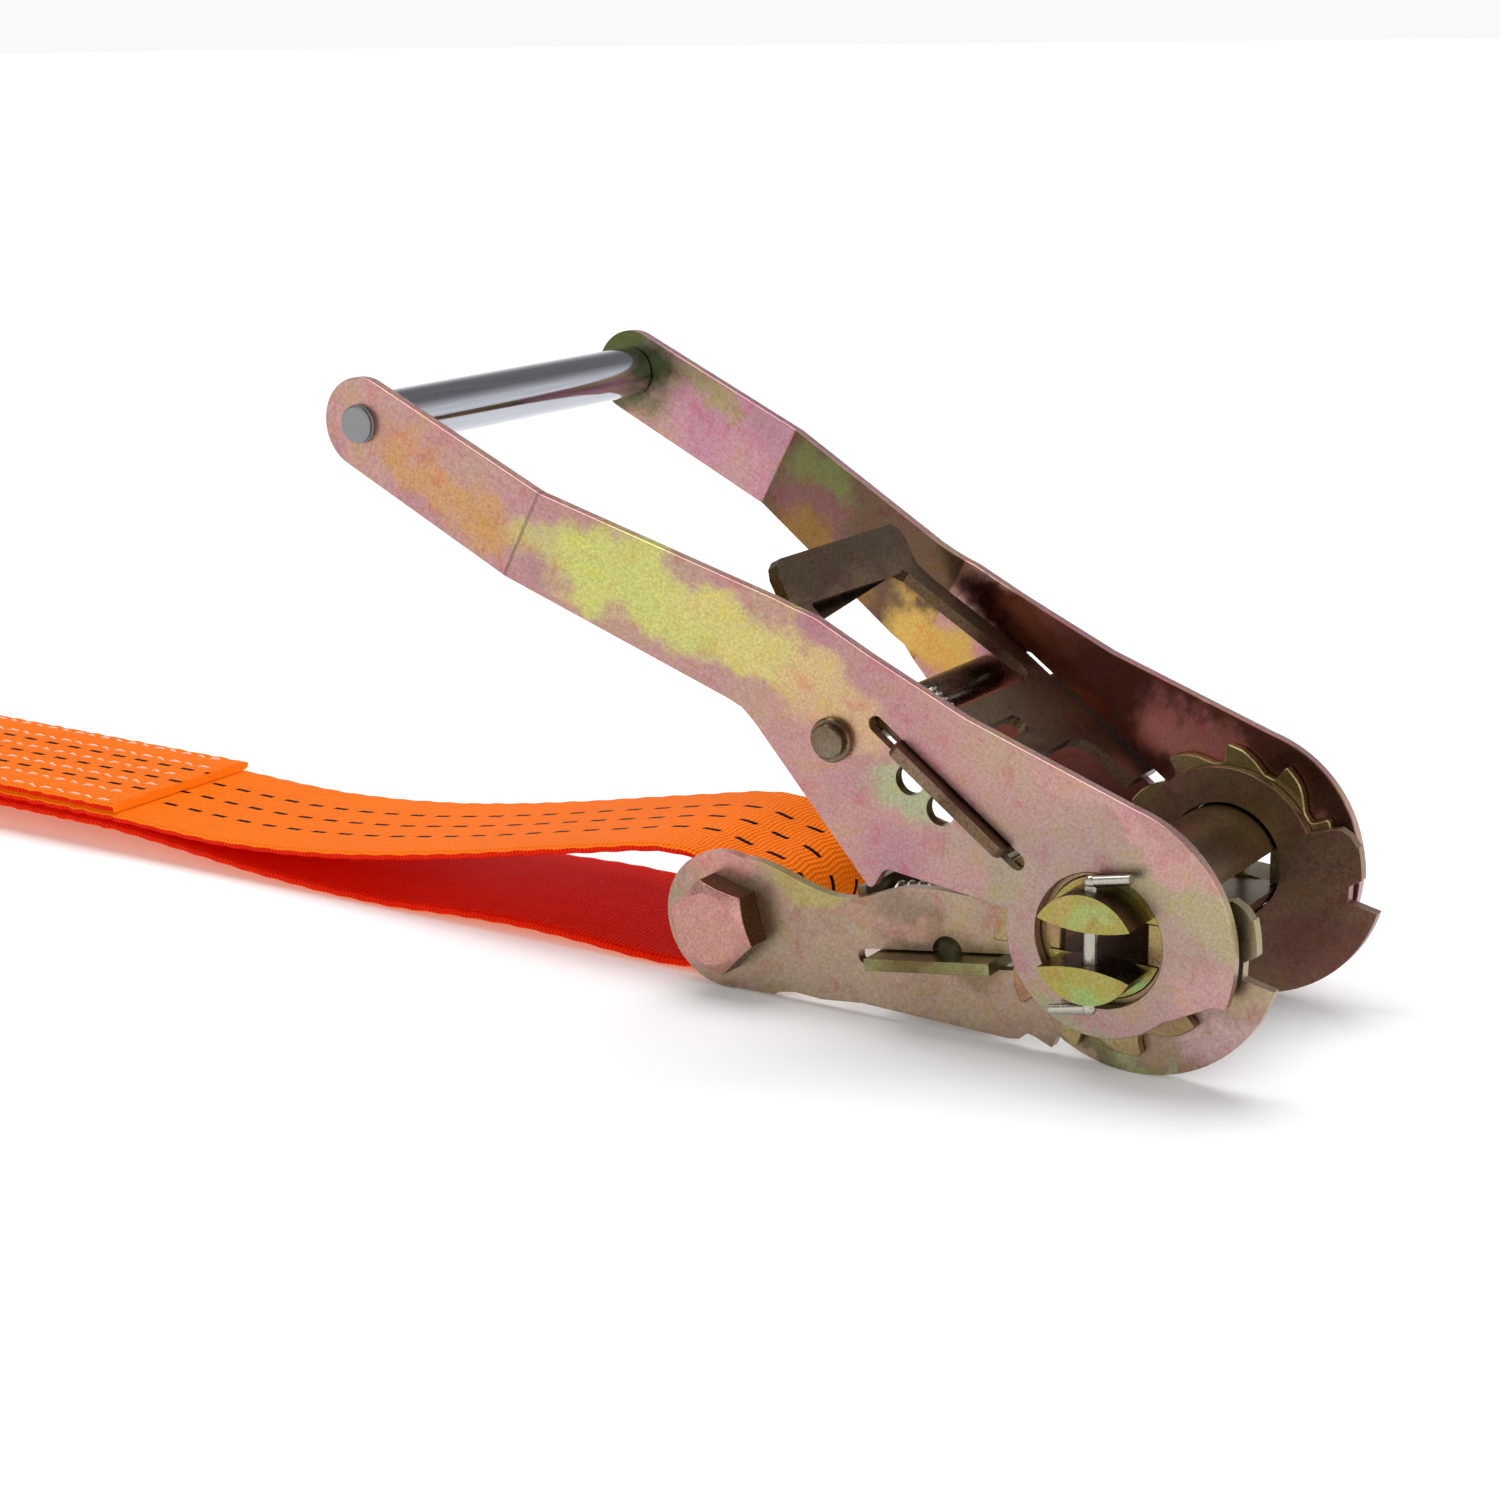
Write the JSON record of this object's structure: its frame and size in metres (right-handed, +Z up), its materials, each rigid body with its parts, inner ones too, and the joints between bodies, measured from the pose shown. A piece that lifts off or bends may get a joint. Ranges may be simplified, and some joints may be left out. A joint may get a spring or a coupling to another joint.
{
  "type": "ratchet lashing tensioner",
  "caption": "Ratchet lashing buckle for 50 mm webbing: two-plate frame, slotted spool between toothed wheels, sprung pawls, flared lever handle with a grip tube, and a short sewn strap.",
  "frame": {"origin": "middle of the spool's axis, in the middle of the slot that the webbing threads through", "axes": "+X along the tool from the strap toward the open end, +Y along the spool's axis, +Z up from the floor that the frame's heel and the strap rest on"},
  "size_m": [0.4571, 0.1068, 0.1309],
  "materials": {
    "zinc_rose": "yellow zinc plate with a rose cast, satin",
    "zinc_olive": "yellow zinc plate with an olive cast, satin",
    "zinc_green": "yellow zinc plate with a green cast, satin",
    "zinc_brown": "yellow zinc plate, dark and brown, satin",
    "bright_steel": "bright drawn steel",
    "webbing": "woven polyester webbing"
  },
  "bodies": {
    "frame": {"frame_plate_near": "zinc_rose", "frame_plate_far": "zinc_rose", "strap_bolt": "zinc_rose", "strap_bolt_nut": "zinc_olive", "bolt_sleeve": "zinc_olive", "spring_seat": "zinc_rose", "lock_springs": "bright_steel"},
    "handle": {"handle_plate_near": "zinc_rose", "handle_plate_far": "zinc_rose", "grip_rod": "bright_steel", "spacer_rod": "zinc_brown", "drive_spring": "bright_steel"},
    "spool": {"spool_bar_upper": "zinc_green", "spool_bar_lower": "zinc_green", "ratchet_wheel_near": "zinc_olive", "ratchet_wheel_far": "zinc_olive", "spool_pin_near": "bright_steel", "spool_pin_far": "bright_steel"},
    "drive_pawl": {"drive_pawl": "zinc_olive"},
    "lock_pawl": {"lock_pawl": "zinc_olive"},
    "grip": {"grip_tube": "bright_steel"},
    "strap": {"strap": "webbing"}
  },
  "joints": [
    {"name": "handle_swing", "type": "hinge", "parent": "frame", "child": "handle", "pos_m": [0, 0, 0], "axis": [0, 1, 0], "range_deg": [-15, 110]},
    {"name": "spool_turn", "type": "hinge", "parent": "frame", "child": "spool", "pos_m": [0, 0, 0], "axis": [0, 1, 0], "continuous": true},
    {"name": "drive_pawl_slide", "type": "slide", "parent": "handle", "child": "drive_pawl", "axis": [-0.8018, 0, 0.5976], "range_m": [0, 0.0068], "stiffness_N_per_m": 1500, "springref_m": -0.006, "deforming": ["drive_spring"]},
    {"name": "lock_pawl_slide", "type": "slide", "parent": "frame", "child": "lock_pawl", "axis": [-0.9903, 0, -0.1392], "range_m": [0, 0.004], "stiffness_N_per_m": 2000, "springref_m": -0.006, "deforming": ["lock_springs"]},
    {"name": "grip_turn", "type": "hinge", "parent": "handle", "child": "grip", "pos_m": [-0.16811, 0, 0.09276], "axis": [0, 1, 0], "continuous": true},
    {"name": "strap_swing", "type": "hinge", "parent": "frame", "child": "strap", "pos_m": [-0.09111, 0, -0.0128], "axis": [0, 1, 0], "range_deg": [-20, 15]}
  ]
}
